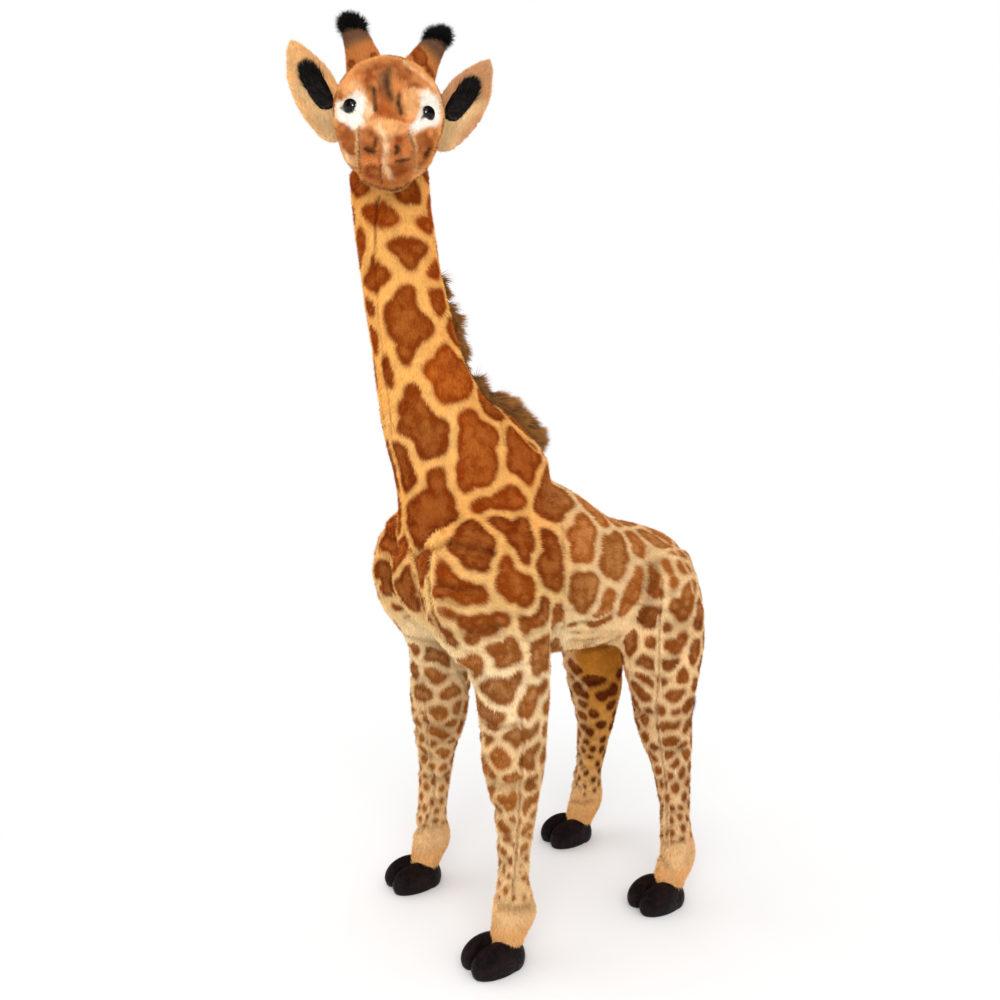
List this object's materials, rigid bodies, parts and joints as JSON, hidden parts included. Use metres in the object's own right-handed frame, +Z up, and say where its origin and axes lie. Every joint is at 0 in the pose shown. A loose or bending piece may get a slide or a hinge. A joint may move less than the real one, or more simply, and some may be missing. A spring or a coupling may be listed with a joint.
{
  "type": "plush giraffe",
  "caption": "Large standing plush giraffe on wire-framed legs, head turned to its left, with a mane, horns, hinged ears and a hanging tail.",
  "frame": {"origin": "middle of the bounding box on the floor between the hooves", "axes": "+Z up, the giraffe faces -Y, its left side is +X"},
  "size_m": [0.341, 0.698, 1.3474],
  "materials": {
    "plush": "short pile plush, rust patches on golden lines",
    "leg_plush": "short pile plush, cream to tan with shrinking brown patches",
    "muzzle_plush": "short pile plush, mottled cream and brown",
    "ear_plush": "short pile plush, cream to tan",
    "horn_plush": "short pile plush, rust brown greying towards the tip",
    "mane_fur": "longer pile fur, olive brown",
    "tuft_fur": "longer pile fur, black",
    "hoof_velvet": "black velvet with a sheen",
    "satin": "dark satin",
    "stuffing": "polyester fibre stuffing",
    "eye_plastic": "gloss",
    "washer_plastic": "matte",
    "steel": "plain drawn wire",
    "board": "hardboard"
  },
  "bodies": {
    "body": {"trunk": "plush", "neck": "plush", "mane": "mane_fur", "front_leg_left": "leg_plush", "front_leg_right": "leg_plush", "hind_leg_left": "leg_plush", "hind_leg_right": "leg_plush", "front_hoof_left": "hoof_velvet", "front_hoof_right": "hoof_velvet", "hind_hoof_left": "hoof_velvet", "hind_hoof_right": "hoof_velvet", "front_foot_disc_left": "board", "front_foot_disc_right": "board", "hind_foot_disc_left": "board", "hind_foot_disc_right": "board", "back_and_neck_rod": "steel", "front_leg_rod_left": "steel", "front_leg_rod_right": "steel", "hind_leg_rod_left": "steel", "hind_leg_rod_right": "steel"},
    "neck_top": {"neck_ball": "stuffing"},
    "head": {"head": "plush", "muzzle": "muzzle_plush", "eye_left": "eye_plastic", "eye_right": "eye_plastic", "eye_washer_left": "washer_plastic", "eye_washer_right": "washer_plastic", "horn_left": "horn_plush", "horn_right": "horn_plush", "horn_tuft_left": "tuft_fur", "horn_tuft_right": "tuft_fur"},
    "ear_left": {"ear_left": "ear_plush", "ear_lining_left": "satin"},
    "ear_right": {"ear_right": "ear_plush", "ear_lining_right": "satin"},
    "tail": {"tail": "leg_plush", "tail_tuft": "tuft_fur"}
  },
  "joints": [
    {"name": "head_turn", "type": "hinge", "parent": "body", "child": "neck_top", "pos_m": [0, -0.23218, 1.16], "axis": [0, -0.1044, 0.9945], "range_deg": [-66, 20], "stiffness_Nm_per_rad": 12},
    {"name": "head_nod", "type": "hinge", "parent": "neck_top", "child": "head", "pos_m": [0, -0.23218, 1.16], "axis": [0.406, 0.9118, -0.0611], "range_deg": [-15, 15], "stiffness_Nm_per_rad": 20},
    {"name": "ear_flap_left", "type": "hinge", "parent": "head", "child": "ear_left", "pos_m": [0.01932, -0.16144, 1.20277], "axis": [-0.1969, 0.1525, 0.9685], "range_deg": [-25, 25], "stiffness_Nm_per_rad": 0.8},
    {"name": "ear_flap_right", "type": "hinge", "parent": "head", "child": "ear_right", "pos_m": [-0.03739, -0.28875, 1.21124], "axis": [-0.1969, 0.1525, 0.9685], "range_deg": [-25, 25], "stiffness_Nm_per_rad": 0.8},
    {"name": "tail_swing", "type": "hinge", "parent": "body", "child": "tail", "pos_m": [0, 0.29982, 0.545], "axis": [0, 1, 0], "range_deg": [-35, 35]}
  ]
}
